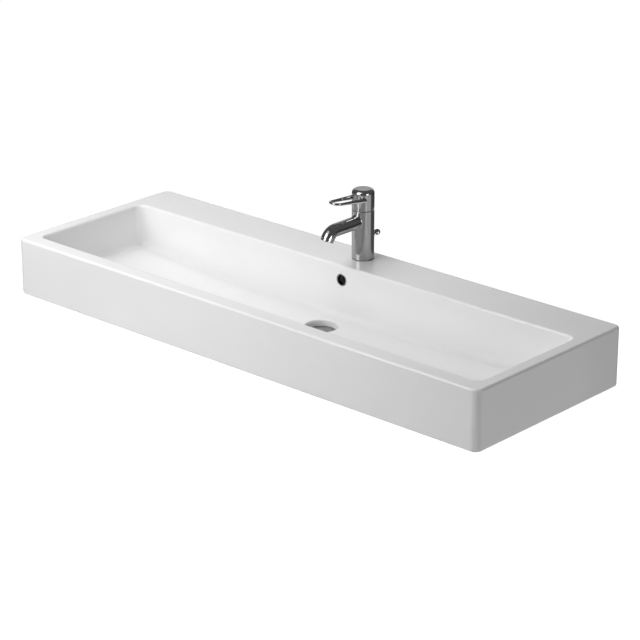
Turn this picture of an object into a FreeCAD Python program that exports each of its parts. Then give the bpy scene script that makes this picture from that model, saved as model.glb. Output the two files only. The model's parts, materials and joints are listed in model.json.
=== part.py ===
import FreeCAD, Part
import math
import os

# A wall-hung ceramic basin with a single-lever mixer and a pop-up waste.
# Millimetres. The origin lies on the wall plane, midway between the two wall bolts.
# +X is to the right, +Y goes into the wall and +Z is up, so the front faces -Y.

# Ceramic casting
basin_width = 1200.0
basin_depth = 425.0
basin_height = 120.0
bolt_below_rim = 65.0
bolt_spacing = 280.0
bolt_hole_radius = 8.0
ceramic_wall = 10.0
deck_thickness = 14.0
floor_thickness = 12.0
front_rim = 36.0
side_rim = 29.0
deck_depth = 107.0
bowl_depth = 110.0
bowl_end_depth = 90.0
outer_corner_radius = 16.0
outer_edge_fillet = 5.0
hollow_corner_radius = 6.0
bowl_corner_radius = 18.0
bowl_floor_fillet = 12.0
bowl_rim_fillet = 5.0

# Overflow
overflow_below_rim = 30.0
overflow_hole_radius = 12.0
overflow_ring_overlap = 0.9
overflow_ring_wall = 1.1
overflow_ring_lip = 0.9
overflow_sleeve_length = 8.0
duct_width = 40.0
duct_depth = 14.0
duct_height = 13.0
duct_wall = 7.0

# Waste
drain_from_bowl_back = 60.0
drain_hole_gap = 2.1
boss_wall = 5.5
boss_below_duct = 2.5
recess_depth = 16.0
recess_spread = 1.5
recess_floor = 7.0
recess_lip_fillet = 3.0
flange_radius = 31.5
flange_thickness = 3.0
flange_seat_spread = 4.0
waste_thread_radius = 20.9
waste_tube_wall = 3.9
gasket_thickness = 1.5
cone_gasket_thickness = 5.0
cone_gasket_overlap = 12.0
slip_washer_thickness = 1.5
slip_washer_inset = 3.0
back_nut_height = 8.0
back_nut_wall = 7.1
nut_to_body_gap = 2.0
socket_engagement = 10.0
waste_body_wall = 3.6
overflow_slot_width = 14.0
ball_below_tube = 14.0
body_below_ball = 22.0
tail_radius = 16.0
tail_wall = 1.4
tail_length = 38.0
tail_engagement = 11.0
tail_spigot_step = 0.4
tail_spigot_free = 4.0
tail_seal_thickness = 2.0

# Ball rod of the pop-up waste
ball_radius = 6.0
port_stub = 18.0
ball_rod_radius = 2.5
ball_rod_spare = 11.0
ball_rod_tip = 4.0
port_wall = 3.4
port_bore_gap = 1.6
port_end_gap = 3.0
seat_depth = 3.5
ball_nut_wall = 3.0
ball_nut_grip = 9.0
ball_rod_swing_room = 2.1

# Plug
plug_seat_gap = 0.6
plug_rim = 2.0
plug_crown = 1.6
plug_seal_inset = 1.4
plug_seal_width = 3.4
plug_seal_thickness = 1.2
plug_stem_radius = 3.0
eye_radius = 6.2
eye_thickness = 4.0
guide_height = 12.0
guide_fin_thickness = 1.6
guide_hub_wall = 1.5
guide_fin_count = 4
guide_below_plug = 16.0

# Pull rod, modelled drawn up, which shuts the plug
lift_travel = 20.0
lift_rod_radius = 2.5
lift_rod_gap = 1.5
lift_bend_height = 30.0
lift_bend_radius = 6.0
lift_slope_deg = 35.0
lift_aside_deg = 15.0
lift_reach = 23.3
lift_knob_radius = 6.5
lift_knob_grip = 4.0
clamp_width = 15.0
clamp_depth = 12.0
clamp_below_rod = 8.0
clamp_above_rod = 24.0
clamp_web = 3.5
clamp_screw_radius = 2.0
clamp_head_radius = 5.0
clamp_head_length = 6.0
clamp_screw_above_end = 8.0

# Mixer column and spout
tap_behind_bowl = 63.0
tap_hole_radius = 17.5
mixer_radius = 22.5
mixer_top = 102.5
base_seal_thickness = 1.2
base_seal_inset = 0.7
base_seal_land = 0.8
column_wall = 4.1
chamber_depth = 38.5
spout_height = 79.0
spout_radius = 13.4
spout_wall = 4.4
spout_run = 83.0
spout_bend_radius = 24.0
spout_bend_deg = 62.0
spout_tail = 1.2
spout_root_fillet = 2.0
spout_end_fillet = 0.9
column_edge_fillet = 0.8
aerator_seat_wall = 2.0
aerator_lip_inset = 0.7
aerator_depth = 5.5
aerator_lip = 4.6
aerator_wall = 1.4
aerator_washer_thickness = 1.5
aerator_web = 0.8
aerator_slot_width = 1.2
aerator_slot_count = 7
inlet_offset = 8.6
inlet_back = 1.5
inlet_thread_radius = 4.5
inlet_thread_length = 15.0
inlet_duct_radius = 3.5
stud_radius = 4.0
stud_gap = 2.0
stud_engagement = 14.0
stud_below_deck = 38.0
horseshoe_overlap = 6.5
horseshoe_hose_gap = 0.9
horseshoe_web = 2.0
horseshoe_arm = 8.0
horseshoe_thickness = 2.5
horseshoe_gasket_thickness = 3.0
mounting_nut_height = 14.0
mounting_nut_flats = 13.0

# Cartridge, heights above the chamber floor
cartridge_gap = 1.0
cartridge_base_height = 7.0
port_hole_radius = 2.8
port_spread = 7.5
port_seal_radius = 4.6
port_seal_thickness = 1.3
disc_thickness = 3.5
fixed_disc_gap = 1.0
moving_disc_gap = 0.9
carrier_height = 7.0
housing_wall = 2.9
housing_height = 24.0
housing_lip = 4.0
rotor_step = 2.3
rotor_flange_gap = 0.3
rotor_above_carrier = 2.0
pivot_height = 32.0
stem_side = 7.0
stem_neck_radius = 2.5
stem_ball_radius = 3.2
stem_above_screw = 3.5
stem_pin_radius = 1.5
cartridge_nut_top = 37.0
dome_gap = 0.8
dome_wall = 1.4
dome_mouth_room = 2.2

# Handle
seam_gap = 0.7
cap_height = 41.5
cap_wall = 2.7
cap_roof = 3.5
cap_top_fillet = 8.0
cap_foot_fillet = 0.6
cap_relief_deg = 16.5
tilt_max_deg = 15.0
hub_radius = 8.0
hub_above_dome = 0.8
loop_below_top = 15.2
loop_tip_half_width = 10.0
loop_root_half_width = 15.0
loop_reach = 96.0
loop_bar_radius = 2.6
loop_rise_deg = 5.0
loop_grip = 13.0
button_above_loop = 1.0
button_radius = 5.4
button_depth = 4.5
button_crown = 0.8
set_screw_radius = 2.5
set_screw_length = 5.0

# Fits
running_clearance = 0.05
seat_clearance = 0.1
slide_clearance = 0.25
loose_clearance = 1.1
slot_clearance = 0.5
overrun = 5.0
match_tolerance = 0.001

# Places worked out from the sizes above
rim_z = bolt_below_rim
bottom_z = rim_z - basin_height
under_deck_z = rim_z - deck_thickness
bowl_half_width = basin_width / 2 - side_rim
bowl_front_y = -basin_depth + front_rim
bowl_back_y = -deck_depth
floor_z = rim_z - bowl_depth
floor_under_z = floor_z - floor_thickness
overflow_z = rim_z - overflow_below_rim
duct_front_y = bowl_back_y + ceramic_wall
duct_back_y = duct_front_y + duct_depth
drain_y = bowl_back_y - drain_from_bowl_back
seat_z = floor_z - recess_depth
duct_top_z = seat_z - recess_floor
duct_low_z = duct_top_z - duct_height
boss_low_z = duct_low_z - duct_wall - boss_below_duct
flange_low_z = seat_z + gasket_thickness
flange_top_z = flange_low_z + flange_thickness
recess_radius = flange_radius + slot_clearance
boss_radius = recess_radius + recess_spread + boss_wall
drain_hole_radius = waste_thread_radius + drain_hole_gap
waste_bore_radius = waste_thread_radius - waste_tube_wall
waste_body_radius = waste_thread_radius + waste_body_wall
flange_seat_radius = waste_bore_radius + flange_seat_spread
plug_radius = flange_seat_radius - plug_seat_gap
plug_seal_radius = plug_radius - plug_seal_inset
cone_gasket_radius = drain_hole_radius + cone_gasket_overlap
tail_bore_radius = tail_radius - tail_wall
overflow_ring_radius = overflow_hole_radius + overflow_ring_overlap
overflow_ring_bore = overflow_hole_radius - overflow_ring_wall
cone_gasket_low_z = boss_low_z - cone_gasket_thickness
slip_washer_low_z = cone_gasket_low_z - slip_washer_thickness
back_nut_low_z = slip_washer_low_z - back_nut_height
waste_body_top_z = back_nut_low_z - nut_to_body_gap
tube_low_z = waste_body_top_z - socket_engagement
ball_z = tube_low_z - ball_below_tube
waste_body_low_z = ball_z - body_below_ball
tail_top_z = waste_body_low_z + tail_engagement
tail_low_z = tail_top_z - tail_length
tail_shoulder_z = waste_body_low_z - tail_spigot_free
tail_spigot_radius = tail_radius - tail_spigot_step
tap_y = bowl_back_y + tap_behind_bowl
lift_rod_behind_tap = tap_hole_radius - lift_rod_radius - lift_rod_gap
lift_y = tap_y + lift_rod_behind_tap
port_bore_radius = ball_radius + port_bore_gap
port_radius = port_bore_radius + port_wall
ball_nut_hole_radius = ball_rod_radius + ball_rod_swing_room
ball_reach = waste_body_radius + port_stub - port_end_gap
ball_y = drain_y + ball_reach
outer_arm = lift_y - ball_y
ball_half_swing = math.atan(lift_travel / 2 / outer_arm)
clamp_z = ball_z + lift_travel / 2
lift_rod_low_z = clamp_z + ball_rod_radius + loose_clearance + clamp_web
eye_z = ball_z - ball_reach * math.tan(ball_half_swing)
plug_low_z = flange_top_z
port_end_y = ball_y + port_end_gap
base_z = rim_z + base_seal_thickness
mixer_top_z = rim_z + mixer_top
chamber_z = mixer_top_z - chamber_depth
chamber_radius = mixer_radius - column_wall
cartridge_radius = chamber_radius - cartridge_gap
housing_bore_radius = cartridge_radius - housing_wall
rotor_flange_radius = housing_bore_radius - rotor_flange_gap
rotor_radius = rotor_flange_radius - rotor_step
aerator_radius = spout_radius - aerator_seat_wall
aerator_lip_radius = spout_radius - aerator_lip_inset
spout_bore_radius = spout_radius - spout_wall
stud_forward = tap_hole_radius - stud_radius - stud_gap
horseshoe_radius = tap_hole_radius + horseshoe_overlap
fixed_disc_z = chamber_z + cartridge_base_height
moving_disc_z = fixed_disc_z + disc_thickness + running_clearance
carrier_z = moving_disc_z + disc_thickness
rotor_low_z = carrier_z + carrier_height + rotor_above_carrier
nut_top_z = chamber_z + cartridge_nut_top
housing_top_z = fixed_disc_z + housing_height
pivot_z = chamber_z + pivot_height
stem_ball_z = carrier_z + stem_ball_radius + slide_clearance
cap_low_z = mixer_top_z + seam_gap
cap_top_z = cap_low_z + cap_height
cap_bore_radius = mixer_radius - cap_wall
dome_radius = cap_bore_radius - dome_gap
hub_low_z = pivot_z + dome_radius + hub_above_dome
disc_travel = (pivot_z - stem_ball_z) * math.sin(math.radians(tilt_max_deg))
moving_disc_radius = housing_bore_radius - disc_travel - moving_disc_gap
loop_z = cap_top_z - loop_below_top
button_z = loop_z + button_above_loop
stem_top_z = button_z + stem_above_screw

V = FreeCAD.Vector
up = V(0, 0, 1)
right = V(1, 0, 0)
back = V(0, 1, 0)
tap_axis = V(0, tap_y, 0)
drain_axis = V(0, drain_y, 0)
ball_centre = V(0, ball_y, ball_z)
pivot = V(0, tap_y, pivot_z)


def box(x0, x1, y0, y1, z0, z1):
    return Part.makeBox(x1 - x0, y1 - y0, z1 - z0, V(x0, y0, z0))


def rod(radius, start, end):
    return Part.makeCylinder(radius, (end - start).Length, start, end - start)


def post(radius, centre, z0, z1):
    return Part.makeCylinder(radius, z1 - z0, V(centre.x, centre.y, z0), up)


def ring(outer, inner, centre, z0, z1):
    return post(outer, centre, z0, z1).cut(post(inner, centre, z0 - overrun, z1 + overrun))


def hexagon(flats, start, end):
    # A hexagonal prism from start to end, with the given size across its flats.
    prism = Part.Face(Part.Wire(Part.makePolygon(hex_points(flats / math.sqrt(3)))))
    prism = prism.extrude(V(0, 0, (end - start).Length))
    prism.Placement = FreeCAD.Placement(start, FreeCAD.Rotation(up, end - start))
    return prism


def hex_points(radius):
    turns = [math.radians(60 * i) for i in range(7)]
    return [V(radius * math.cos(t), radius * math.sin(t), 0) for t in turns]


def turned(points, centre):
    # A solid of revolution about the vertical line through centre, from (radius, height) points.
    outline = [V(centre.x + r, centre.y, z) for r, z in points]
    face = Part.Face(Part.Wire(Part.makePolygon(outline + outline[:1])))
    return face.revolve(centre, up, 360)


def rounded_block(x0, x1, y0, y1, z0, z1, radius):
    # An upright block whose four vertical edges are rounded.
    block = box(x0, x1, y0, y1, z0, z1)
    edges = [e for e in block.Edges if e.BoundBox.ZLength > z1 - z0 - match_tolerance]
    return block.makeFillet(radius, edges)


def lies_at(edge, z):
    box_low = edge.BoundBox.ZMin
    box_high = edge.BoundBox.ZMax
    return abs(box_low - z) < match_tolerance and abs(box_high - z) < match_tolerance


def edges_at(shape, z):
    return [e for e in shape.Edges if lies_at(e, z)]


def pipe(radius, path):
    # A round bar along a path of straight runs and arcs.
    first = path.OrderedEdges[0]
    start = first.valueAt(first.FirstParameter)
    section = Part.Wire(Part.makeCircle(radius, start, first.tangentAt(first.FirstParameter)))
    return path.makePipeShell([section], True, False)


def bent_path(start, corner, end, radius):
    # Two straight runs joined at the corner by a tangent arc.
    run_in = (start - corner).normalize()
    run_out = (end - corner).normalize()
    half = run_in.getAngle(run_out) / 2
    middle = (run_in + run_out).normalize()
    centre = corner + middle * (radius / math.sin(half))
    leave = corner + run_in * (radius / math.tan(half))
    meet = corner + run_out * (radius / math.tan(half))
    arc = Part.Arc(leave, centre - middle * radius, meet).toShape()
    return Part.Wire([Part.makeLine(start, leave), arc, Part.makeLine(meet, end)])


def save(name, shape):
    shape.exportStep(os.path.join("parts", name + ".step"))


# Ceramic casting and overflow ring


def outer_block():
    half = basin_width / 2
    block = rounded_block(-half, half, -basin_depth, 0, bottom_z, rim_z, outer_corner_radius)
    return block.makeFillet(outer_edge_fillet, edges_at(block, rim_z) + edges_at(block, bottom_z))


def bowl_form(grow, drop, top_z):
    # The bowl's form, grown sideways and dropped: upright walls over a floor that is one shallow arc.
    half = bowl_half_width + grow
    front = bowl_front_y - grow
    rear = bowl_back_y + grow
    end_z = rim_z - bowl_end_depth - drop
    sag = Part.Arc(V(-half, front, end_z), V(0, front, floor_z - drop), V(half, front, end_z)).toShape()
    frame = Part.makePolygon([V(half, front, end_z), V(half, front, top_z), V(-half, front, top_z),
                              V(-half, front, end_z)])
    trough = Part.Face(Part.Wire([sag] + frame.Edges)).extrude(V(0, rear - front, 0))
    upright = [e for e in trough.Edges if e.BoundBox.ZLength > top_z - end_z - match_tolerance]
    return trough.makeFillet(bowl_corner_radius + grow, upright)


def bowl_hollow():
    hollow = bowl_form(0, 0, rim_z + overrun)
    floor = min(hollow.Faces, key=lambda f: f.CenterOfMass.z)
    return hollow.makeFillet(bowl_floor_fillet, floor.Edges)


def bowl_skin():
    return bowl_form(ceramic_wall, floor_thickness, rim_z - deck_thickness / 2)


def underside_hollow():
    half = basin_width / 2 - ceramic_wall
    space = rounded_block(-half, half, -basin_depth + ceramic_wall, -ceramic_wall, bottom_z - overrun,
                          under_deck_z, hollow_corner_radius)
    return space.cut(bowl_skin())


def duct_walls():
    half = duct_width / 2 + duct_wall
    low = duct_low_z - duct_wall
    upright = box(-half, half, duct_front_y - ceramic_wall / 2, duct_back_y + duct_wall, low,
                  rim_z - deck_thickness / 2)
    run = box(-half, half, drain_y, duct_back_y + duct_wall, low, floor_under_z + floor_thickness / 2)
    boss = post(boss_radius, drain_axis, boss_low_z, floor_under_z + floor_thickness / 2)
    return upright.fuse([run, boss])


def duct_hollow():
    half = duct_width / 2
    top = overflow_z + overflow_hole_radius + duct_wall
    upright = box(-half, half, duct_front_y, duct_back_y, duct_low_z, top)
    run = box(-half, half, drain_y, duct_back_y, duct_low_z, duct_top_z)
    return upright.fuse(run)


def drain_cuts():
    hole = post(drain_hole_radius, drain_axis, boss_low_z - overrun, floor_z + overrun)
    height = recess_depth + overrun
    recess = Part.makeCone(recess_radius, recess_radius + recess_spread * height / recess_depth, height,
                           V(0, drain_y, seat_z), up)
    return [hole, recess]


def is_recess_lip(edge):
    # The edge where the drain's recess opens into the bowl's floor.
    span = edge.BoundBox
    level = floor_z - match_tolerance < span.ZMin and span.ZMax < floor_z + recess_lip_fillet
    return level and abs(span.Center.y - drain_y) < recess_spread and span.YLength > recess_radius


def wall_holes():
    half = bolt_spacing / 2
    start = V(0, -ceramic_wall - overrun, 0)
    end = V(0, overrun, 0)
    return [rod(bolt_hole_radius, start + right * x, end + right * x) for x in (-half, half)]


def overflow_hole():
    return rod(overflow_hole_radius, V(0, bowl_back_y - overrun, overflow_z),
               V(0, duct_front_y + match_tolerance, overflow_z))


def basin_body():
    shell = outer_block().fuse(bowl_skin()).cut(bowl_hollow())
    lip = [e for e in edges_at(shell, rim_z)
           if abs(e.CenterOfMass.x) <= bowl_half_width + match_tolerance
           and bowl_front_y - match_tolerance <= e.CenterOfMass.y <= bowl_back_y + match_tolerance]
    shell = shell.makeFillet(bowl_rim_fillet, lip)
    shell = shell.cut(underside_hollow()).fuse(duct_walls())
    tap_hole = post(tap_hole_radius, tap_axis, under_deck_z - overrun, rim_z + overrun)
    shell = shell.cut([duct_hollow(), overflow_hole(), tap_hole] + drain_cuts() + wall_holes())
    shell = shell.removeSplitter()
    return shell.makeFillet(recess_lip_fillet, [e for e in shell.Edges if is_recess_lip(e)])


def overflow_ring():
    wall = V(0, bowl_back_y, overflow_z)
    lip = rod(overflow_ring_radius, wall - back * overflow_ring_lip, wall)
    front_edges = [e for e in lip.Edges if e.BoundBox.YMax < bowl_back_y - match_tolerance]
    lip = lip.makeFillet(overflow_ring_lip / 2, front_edges)
    sleeve = rod(overflow_hole_radius - seat_clearance, wall, wall + back * overflow_sleeve_length)
    bore = rod(overflow_ring_bore, wall - back * overrun, wall + back * (overflow_sleeve_length + overrun))
    return lip.fuse(sleeve).cut(bore).removeSplitter()


# Waste


def waste_flange():
    plate = turned([(waste_bore_radius, flange_low_z), (flange_radius, flange_low_z),
                    (flange_radius, flange_low_z + flange_thickness / 2),
                    (flange_radius - flange_thickness / 2, flange_top_z),
                    (flange_seat_radius, flange_top_z), (waste_bore_radius, flange_low_z)], drain_axis)
    tube = ring(waste_thread_radius, waste_bore_radius, drain_axis, tube_low_z, flange_low_z)
    half = overflow_slot_width / 2
    slot = box(-half, half, drain_y, drain_y + drain_hole_radius, duct_low_z, duct_top_z)
    opposite = slot.mirror(drain_axis, back)
    return plate.fuse(tube).cut([slot, opposite]).removeSplitter()


def waste_lower_body():
    shell = post(waste_body_radius, drain_axis, waste_body_low_z, waste_body_top_z)
    port = rod(port_radius, V(0, drain_y, ball_z), V(0, port_end_y, ball_z))
    shell = shell.fuse(port)
    socket = post(waste_thread_radius + seat_clearance, drain_axis, tube_low_z, waste_body_top_z + overrun)
    middle = post(waste_bore_radius, drain_axis, tail_top_z + tail_seal_thickness, tube_low_z)
    tail_socket = post(tail_spigot_radius + seat_clearance, drain_axis, waste_body_low_z - overrun,
                       tail_top_z + tail_seal_thickness)
    port_bore = rod(port_bore_radius, V(0, drain_y, ball_z), V(0, port_end_y + overrun, ball_z))
    return shell.cut([socket, middle, tail_socket, port_bore]).removeSplitter()


def tailpiece():
    # The upper end is turned down to a spigot that enters the body.
    tube = post(tail_radius, drain_axis, tail_low_z, tail_shoulder_z)
    spigot = post(tail_spigot_radius, drain_axis, tail_shoulder_z, tail_top_z)
    bore = post(tail_bore_radius, drain_axis, tail_low_z - overrun, tail_top_z + overrun)
    return tube.fuse(spigot).cut(bore)


def ball_seat(y0, y1):
    start = V(0, y0, ball_z)
    end = V(0, y1, ball_z)
    seat = rod(port_bore_radius - running_clearance, start, end)
    hole = rod(ball_nut_hole_radius, start - back * overrun, end + back * overrun)
    cup = Part.makeSphere(ball_radius + running_clearance, ball_centre)
    return seat.cut([hole, cup])


def ball_nut():
    end_y = port_end_y + seat_depth + ball_nut_wall
    flats = 2 * (port_radius + ball_nut_wall)
    outer = hexagon(flats, V(0, port_end_y - ball_nut_grip, ball_z), V(0, end_y, ball_z))
    bore = rod(port_radius + seat_clearance, V(0, port_end_y - ball_nut_grip - overrun, ball_z),
               V(0, port_end_y + seat_depth, ball_z))
    hole = rod(ball_nut_hole_radius, V(0, port_end_y, ball_z), V(0, end_y + overrun, ball_z))
    return outer.cut([bore, hole])


def ball_rod():
    bar = rod(ball_rod_radius, V(0, drain_y - ball_rod_tip, ball_z), V(0, lift_y + ball_rod_spare, ball_z))
    bar = bar.fuse(Part.makeSphere(ball_radius, ball_centre)).removeSplitter()
    bar.rotate(ball_centre, right, math.degrees(ball_half_swing))
    return bar


def plug_cap():
    # A disc with a shallow spherical crown.
    top = plug_low_z + plug_rim + plug_crown
    ball = (plug_radius * plug_radius + plug_crown * plug_crown) / (2 * plug_crown)
    crown = Part.makeSphere(ball, V(0, drain_y, top - ball))
    return post(plug_radius, drain_axis, plug_low_z, top).common(crown)


def plug_stem():
    shaft = post(plug_stem_radius, drain_axis, eye_z, plug_low_z)
    eye_start = V(0, drain_y - eye_thickness / 2, eye_z)
    eye_end = V(0, drain_y + eye_thickness / 2, eye_z)
    eye = rod(eye_radius, eye_start, eye_end)
    hole = rod(ball_rod_radius + loose_clearance, eye_start - back * overrun, eye_end + back * overrun)
    return shaft.fuse(eye).cut(hole).removeSplitter()


def plug_guide():
    top = plug_low_z - guide_below_plug
    low = top - guide_height
    hub_bore = plug_stem_radius + running_clearance
    hub = post(hub_bore + guide_hub_wall, drain_axis, low, top)
    reach = waste_bore_radius - slide_clearance
    half = guide_fin_thickness / 2
    fin = box(0, reach, drain_y - half, drain_y + half, low, top)
    fins = []
    for i in range(guide_fin_count):
        turned_fin = fin.copy()
        turned_fin.rotate(drain_axis, up, 45 + 360 / guide_fin_count * i)
        fins.append(turned_fin)
    spider = hub.fuse(fins).common(post(reach, drain_axis, low, top))
    return spider.cut(post(hub_bore, drain_axis, low - overrun, top + overrun)).removeSplitter()


def back_nut():
    flats = 2 * (waste_thread_radius + back_nut_wall)
    nut = hexagon(flats, V(0, drain_y, back_nut_low_z), V(0, drain_y, slip_washer_low_z))
    return nut.cut(post(waste_thread_radius + seat_clearance, drain_axis, back_nut_low_z - overrun,
                        slip_washer_low_z + overrun))


def waste_nodes():
    hole = waste_thread_radius + seat_clearance
    washer_radius = cone_gasket_radius - slip_washer_inset
    plug_seal_bore = plug_seal_radius - plug_seal_width
    outer_seat_y = port_end_y + seat_depth
    return {
        "waste_flange": waste_flange(),
        "waste_top_gasket": ring(flange_radius - gasket_thickness, drain_hole_radius, drain_axis, seat_z,
                                 flange_low_z),
        "waste_bottom_gasket": ring(cone_gasket_radius, hole, drain_axis, cone_gasket_low_z, boss_low_z),
        "waste_slip_washer": ring(washer_radius, hole, drain_axis, slip_washer_low_z, cone_gasket_low_z),
        "waste_back_nut": back_nut(),
        "waste_lower_body": waste_lower_body(),
        "tailpiece": tailpiece(),
        "tailpiece_seal": ring(tail_spigot_radius, tail_bore_radius, drain_axis, tail_top_z,
                               tail_top_z + tail_seal_thickness),
        "ball_seat_inner": ball_seat(ball_y - ball_radius, ball_y - ball_radius + seat_depth),
        "ball_seat_outer": ball_seat(outer_seat_y - seat_depth, outer_seat_y),
        "ball_nut": ball_nut(),
        "ball_rod": ball_rod(),
        "plug_cap": plug_cap(),
        "plug_seal": ring(plug_seal_radius, plug_seal_bore, drain_axis, plug_low_z - plug_seal_thickness,
                          plug_low_z),
        "plug_stem": plug_stem(),
        "plug_guide": plug_guide(),
    }


# Pull rod


def lift_points():
    # The rod's lower end, its bend and the knob's centre.
    slope = math.radians(lift_slope_deg)
    aside = math.radians(lift_aside_deg)
    bend = V(0, lift_y, rim_z + lift_bend_height)
    rise = lift_reach * math.tan(slope)
    knob = bend + V(lift_reach * math.sin(aside), lift_reach * math.cos(aside), rise)
    return V(0, lift_y, lift_rod_low_z), bend, knob


def lift_rod():
    low, bend, knob = lift_points()
    outward = (knob - bend).normalize()
    end = knob - outward * (lift_knob_radius - lift_knob_grip)
    return pipe(lift_rod_radius, bent_path(low, bend, end, lift_bend_radius))


def lift_knob():
    low, bend, knob = lift_points()
    outward = (knob - bend).normalize()
    bore_end = knob - outward * (lift_knob_radius - lift_knob_grip)
    bore = rod(lift_rod_radius + running_clearance, bend, bore_end)
    return Part.makeSphere(lift_knob_radius, knob).cut(bore)


def rod_clamp():
    half = clamp_width / 2
    depth = clamp_depth / 2
    top = clamp_z + clamp_above_rod
    block = box(-half, half, lift_y - depth, lift_y + depth, clamp_z - clamp_below_rod, top)
    cross_hole = rod(ball_rod_radius + loose_clearance, V(0, lift_y - clamp_depth, clamp_z),
                     V(0, lift_y + clamp_depth, clamp_z))
    bore = post(lift_rod_radius + running_clearance, V(0, lift_y, 0), lift_rod_low_z, top + overrun)
    screw_z = lift_rod_low_z + clamp_screw_above_end
    screw_hole = rod(clamp_screw_radius + running_clearance, V(0, lift_y, screw_z),
                     V(clamp_width, lift_y, screw_z))
    return block.cut([cross_hole, bore, screw_hole])


def clamp_screw():
    centre = V(0, lift_y, lift_rod_low_z + clamp_screw_above_end)
    face = centre + right * (clamp_width / 2)
    shank = rod(clamp_screw_radius, centre + right * (lift_rod_radius + running_clearance), face)
    return shank.fuse(rod(clamp_head_radius, face, face + right * clamp_head_length)).removeSplitter()


def lift_nodes():
    return {
        "lift_rod": lift_rod(),
        "lift_knob": lift_knob(),
        "rod_clamp": rod_clamp(),
        "clamp_screw": clamp_screw(),
    }


# Mixer column, spout and fixing


def spout_end():
    # The outlet's centre and the direction in which the water leaves.
    bend = math.radians(spout_bend_deg)
    way = V(0, -math.cos(bend), -math.sin(bend))
    corner = V(0, tap_y - spout_run - spout_bend_radius * math.tan(bend / 2), rim_z + spout_height)
    end = corner + way * (spout_bend_radius * math.tan(bend / 2) + spout_tail)
    return corner, end, way


def spout_path():
    corner, end, way = spout_end()
    return bent_path(V(0, tap_y, rim_z + spout_height), corner, end, spout_bend_radius)


def inlet_places():
    y = tap_y + inlet_back
    return [V(-inlet_offset, y, 0), V(inlet_offset, y, 0)]


def lift_slot():
    # An upright slot behind the pull rod, as long as the rod's travel.
    low, bend, knob = lift_points()
    width = lift_rod_radius + slot_clearance
    slope = math.radians(lift_slope_deg)
    wall_reach = mixer_radius - lift_rod_behind_tap + slot_clearance
    low_z = bend.z - lift_travel - lift_bend_radius
    top = bend.z + wall_reach * math.tan(slope) + width / math.cos(slope)
    slab = box(-width, width, lift_y - width, lift_y + mixer_radius, low_z, top)
    slab.rotate(V(0, lift_y, 0), up, -lift_aside_deg)
    return slab


def is_spout_root(edge):
    # The saddle-shaped edge where the spout leaves the column.
    span = edge.BoundBox
    in_column = span.YMin > tap_y - mixer_radius - match_tolerance
    level = lies_at(edge, base_z) or lies_at(edge, mixer_top_z)
    return in_column and not level and span.ZLength > spout_radius and span.XLength > spout_radius


def rounded_column():
    column = post(mixer_radius, tap_axis, base_z, mixer_top_z)
    return column.makeFillet(column_edge_fillet, edges_at(column, base_z) + edges_at(column, mixer_top_z))


def rounded_spout():
    corner, end, way = spout_end()
    spout = pipe(spout_radius, spout_path())
    mouth = [e for e in spout.Edges if (e.CenterOfMass - end).Length < match_tolerance]
    return spout.makeFillet(spout_end_fillet, mouth)


def mixer_body():
    shell = rounded_column().fuse(rounded_spout()).removeSplitter()
    shell = shell.makeFillet(spout_root_fillet, [e for e in shell.Edges if is_spout_root(e)])
    corner, end, way = spout_end()
    socket_depth = aerator_depth + aerator_washer_thickness
    recess = rod(aerator_radius + seat_clearance, end - way * socket_depth, end + way * overrun)
    threads = [post(inlet_thread_radius, p, base_z - overrun, base_z + inlet_thread_length)
               for p in inlet_places()]
    ducts = [post(inlet_duct_radius, p, base_z, chamber_z + overrun) for p in inlet_places()]
    stud_hole = post(stud_radius + running_clearance, tap_axis - back * stud_forward, base_z - overrun,
                     base_z + stud_engagement)
    rod_bore = post(lift_rod_radius + running_clearance, V(0, lift_y, 0), base_z - overrun,
                    rim_z + lift_bend_height)
    chamber = post(chamber_radius, tap_axis, chamber_z, mixer_top_z + overrun)
    cuts = [pipe(spout_bore_radius, spout_path()), recess, stud_hole, rod_bore, lift_slot(), chamber]
    return shell.cut(cuts + threads + ducts).removeSplitter()


def aerator_housing():
    corner, end, way = spout_end()
    barrel = rod(aerator_radius, end - way * aerator_depth, end)
    lip = rod(aerator_lip_radius, end, end + way * aerator_lip)
    bore = rod(aerator_radius - aerator_wall, end - way * (aerator_depth + overrun),
               end + way * (aerator_lip + overrun))
    return barrel.fuse(lip).cut(bore).removeSplitter()


def aerator_insert():
    corner, end, way = spout_end()
    radius = aerator_radius - aerator_wall - running_clearance
    top = end - way * aerator_depth
    plug = rod(radius, top, end + way * (aerator_lip / 2))
    slots = aerator_slots(radius, top)
    return plug.cut(slots)


def aerator_slots(radius, top):
    # Parallel slots through the outlet grid.
    corner, end, way = spout_end()
    pitch = 2 * radius / (aerator_slot_count + 1)
    across = way.cross(right)
    slots = []
    for i in range(aerator_slot_count):
        offset = (i - (aerator_slot_count - 1) / 2) * pitch
        half_length = math.sqrt(radius * radius - offset * offset) - aerator_wall
        slot = Part.makeBox(aerator_slot_width, 2 * half_length, aerator_depth + aerator_lip + overrun)
        slot.translate(V(-aerator_slot_width / 2, -half_length, 0))
        turn = FreeCAD.Rotation(right, across, way)
        slot.Placement = FreeCAD.Placement(top - way * aerator_web, turn).multiply(slot.Placement)
        slot.translate(right * offset)
        slots.append(slot)
    return slots


def aerator_washer():
    corner, end, way = spout_end()
    top = end - way * (aerator_depth + aerator_washer_thickness)
    washer = rod(aerator_radius, top, end - way * aerator_depth)
    return washer.cut(rod(spout_bore_radius - aerator_wall, top - way * overrun, end))


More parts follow.
